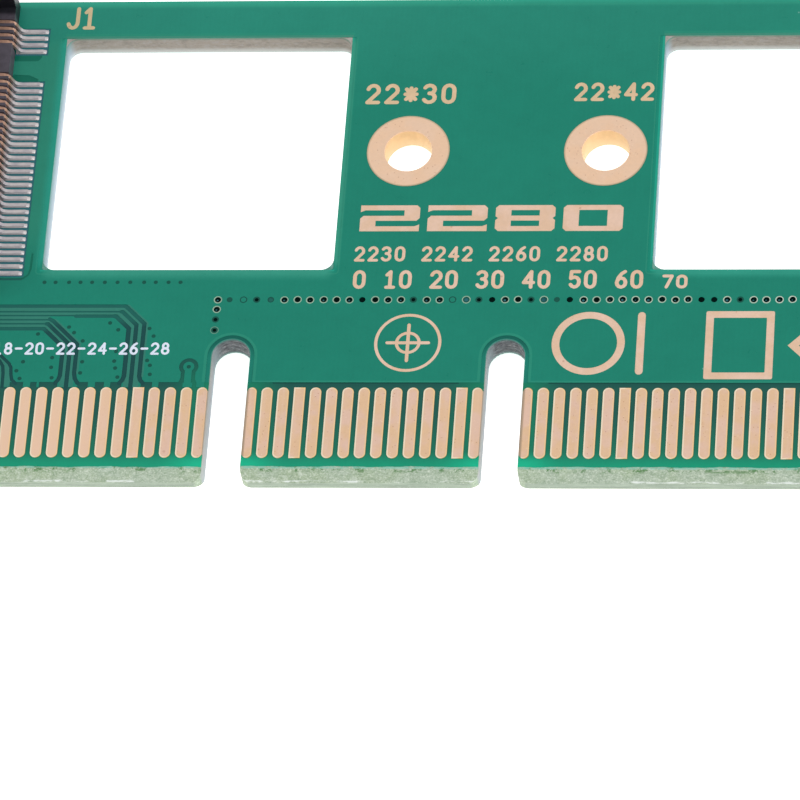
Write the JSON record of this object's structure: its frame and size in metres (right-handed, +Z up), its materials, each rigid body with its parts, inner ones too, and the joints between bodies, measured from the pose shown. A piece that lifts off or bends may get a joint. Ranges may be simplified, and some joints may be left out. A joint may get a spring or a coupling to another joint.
{
  "type": "nvme adapter card",
  "caption": "Green edge-connector card with an M.2 drive socket, windows, gold-ringed standoff holes, bevelled gold contacts and a low-profile bracket.",
  "frame": {"origin": "centre of the bounding box on the plane that the card rests on", "axes": "+X along the card away from the bracket, +Y away from the edge contacts, +Z up from the solder side to the component side"},
  "size_m": [0.1564, 0.0792, 0.0184],
  "materials": {
    "board": "green solder mask on glass-fibre laminate",
    "gold_contacts": "immersion gold on nickel, satin",
    "plating": "immersion gold on nickel, satin",
    "housing": "black moulded liquid-crystal polymer",
    "tinned_contacts": "tinned copper alloy",
    "brass_parts": "turned brass",
    "bright_steel": "nickel-plated steel",
    "bracket_steel": "nickel-plated sheet steel",
    "ceramic_chips": "fired ceramic with tinned ends",
    "resistor_chips": "glazed chip with tinned ends",
    "storage_block": "moulded epoxy with a darker end band",
    "led_body": "clear epoxy over a white base"
  },
  "bodies": {
    "root": {"circuit_board": "board", "edge_contacts_front": "gold_contacts", "edge_contacts_back": "gold_contacts", "plated_hole_30": "plating", "plated_hole_42": "plating", "plated_hole_60": "plating", "plated_hole_80": "plating", "socket_housing": "housing", "socket_contacts_front": "tinned_contacts", "socket_contacts_rear": "tinned_contacts", "socket_hold_downs": "bright_steel", "ssd_standoff": "brass_parts", "standoff_nut": "bright_steel", "ssd_screw": "bright_steel", "bracket": "bracket_steel", "bracket_screw_upper": "bright_steel", "bracket_screw_lower": "bright_steel", "storage_capacitor": "storage_block", "bulk_capacitors": "ceramic_chips", "decoupling_capacitors": "ceramic_chips", "resistors": "resistor_chips", "power_led": "led_body", "activity_led": "led_body"}
  },
  "joints": []
}
